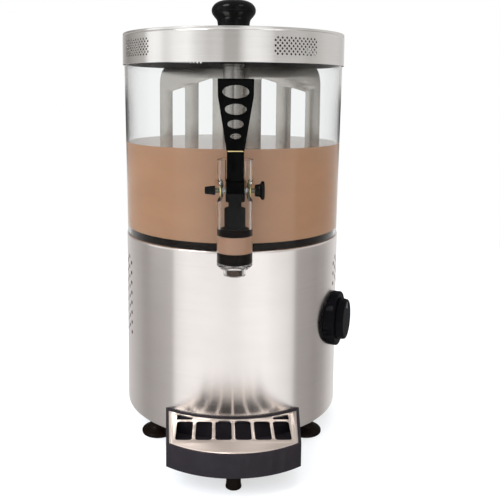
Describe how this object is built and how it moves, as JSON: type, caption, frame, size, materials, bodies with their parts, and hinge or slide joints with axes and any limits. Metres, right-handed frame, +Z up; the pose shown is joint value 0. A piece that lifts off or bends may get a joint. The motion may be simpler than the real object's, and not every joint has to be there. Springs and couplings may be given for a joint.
{
  "type": "hot chocolate dispenser",
  "caption": "Hot drink dispenser: round steel heated base, clear bowl with a stirring paddle and lever tap, steel lid with a black knob, and a slide-off drip tray.",
  "frame": {"origin": "on the machine's axis, at the underside of the base plate's pressed pad", "axes": "+Z up, -Y towards the tap and drip tray, +X to the right as seen from the front"},
  "size_m": [0.2832, 0.3659, 0.5207],
  "materials": {
    "brushed_steel": "brushed round the body",
    "lid_steel": "brushed",
    "blade_steel": "satin",
    "polished_steel": "polished",
    "clear_plastic": "clear, glossy",
    "black_plastic": "glossy",
    "satin_black_plastic": "satin",
    "black_rubber": "matte",
    "white_plastic": "matte",
    "zinc_plate": "dull plated"
  },
  "bodies": {
    "base": {"base_shell": "brushed_steel", "base_plate": "zinc_plate", "foot_1": "black_rubber", "foot_2": "black_rubber", "foot_3": "black_rubber", "foot_4": "black_rubber", "foot_screw_1": "zinc_plate", "foot_screw_2": "zinc_plate", "foot_screw_3": "zinc_plate", "foot_screw_4": "zinc_plate", "heating_pan": "polished_steel", "heater_ring": "zinc_plate", "bowl_gasket": "black_rubber", "shaft_seal": "black_rubber", "motor_bracket": "zinc_plate", "gearbox": "satin_black_plastic", "stirring_motor": "zinc_plate", "thermostat": "satin_black_plastic", "dial_bezel": "black_plastic", "switch_frame": "satin_black_plastic", "cable_gland": "satin_black_plastic", "gland_nut": "satin_black_plastic", "terminal_block": "white_plastic"},
    "agitator": {"drive_shaft": "polished_steel", "paddle_hub": "blade_steel", "hub_bush": "white_plastic", "hub_cap": "black_plastic", "paddle_blade": "blade_steel", "blade_bolt_1": "polished_steel", "blade_bolt_2": "polished_steel", "blade_bolt_3": "polished_steel"},
    "bowl_group": {"bowl": "clear_plastic", "tap_barrel": "clear_plastic", "pivot_pin": "polished_steel", "pivot_washer_left": "satin_black_plastic", "pivot_washer_right": "satin_black_plastic", "pin_cap": "black_plastic", "pin_knob": "black_plastic"},
    "lid": {"lid_shell": "lid_steel", "lid_seat_ring": "black_rubber", "lid_knob": "black_plastic", "lid_knob_screw": "polished_steel"},
    "lever": {"tap_lever": "black_plastic", "link_pin": "polished_steel"},
    "piston": {"tap_piston": "black_plastic", "piston_seal": "black_rubber", "outlet_plug": "black_rubber"},
    "tray": {"drip_tray": "satin_black_plastic", "tray_foot": "black_rubber"},
    "grille": {"drip_grille": "brushed_steel"},
    "dial": {"dial_knob": "black_plastic", "dial_spindle": "polished_steel"},
    "rocker": {"switch_rocker": "black_plastic"}
  },
  "joints": [
    {"name": "agitator_spin", "type": "hinge", "parent": "base", "child": "agitator", "pos_m": [0, 0, 0.22], "axis": [0, 0, 1], "continuous": true},
    {"name": "bowl_lift", "type": "slide", "parent": "base", "child": "bowl_group", "axis": [0, 0, 1], "range_m": [0, 0.22]},
    {"name": "lid_lift", "type": "slide", "parent": "bowl_group", "child": "lid", "axis": [0, 0, 1], "range_m": [0, 0.1]},
    {"name": "lever_pull", "type": "hinge", "parent": "bowl_group", "child": "lever", "pos_m": [0, -0.16, 0.2863], "axis": [1, 0, 0], "range_deg": [0, 35], "stiffness_Nm_per_rad": 0.02, "springref_deg": -17.19},
    {"name": "piston_lift", "type": "slide", "parent": "bowl_group", "child": "piston", "axis": [0, 0, 1], "range_m": [0, 0.0056]},
    {"name": "tray_slide", "type": "slide", "parent": "base", "child": "tray", "axis": [0, -1, 0], "range_m": [0, 0.09]},
    {"name": "grille_lift", "type": "slide", "parent": "tray", "child": "grille", "axis": [0, 0, 1], "range_m": [0, 0.05]},
    {"name": "dial_turn", "type": "hinge", "parent": "base", "child": "dial", "pos_m": [0.13074, -0.05282, 0.1144], "axis": [0.9272, -0.3746, 0], "range_deg": [0, 270]},
    {"name": "rocker_tip", "type": "hinge", "parent": "base", "child": "rocker", "pos_m": [0, 0.135, 0.07], "axis": [1, 0, 0], "range_deg": [0, 18]}
  ],
  "couplings": [
    {"joint": "piston_lift", "follows": "lever_pull", "m_per_rad": 0.008861}
  ]
}
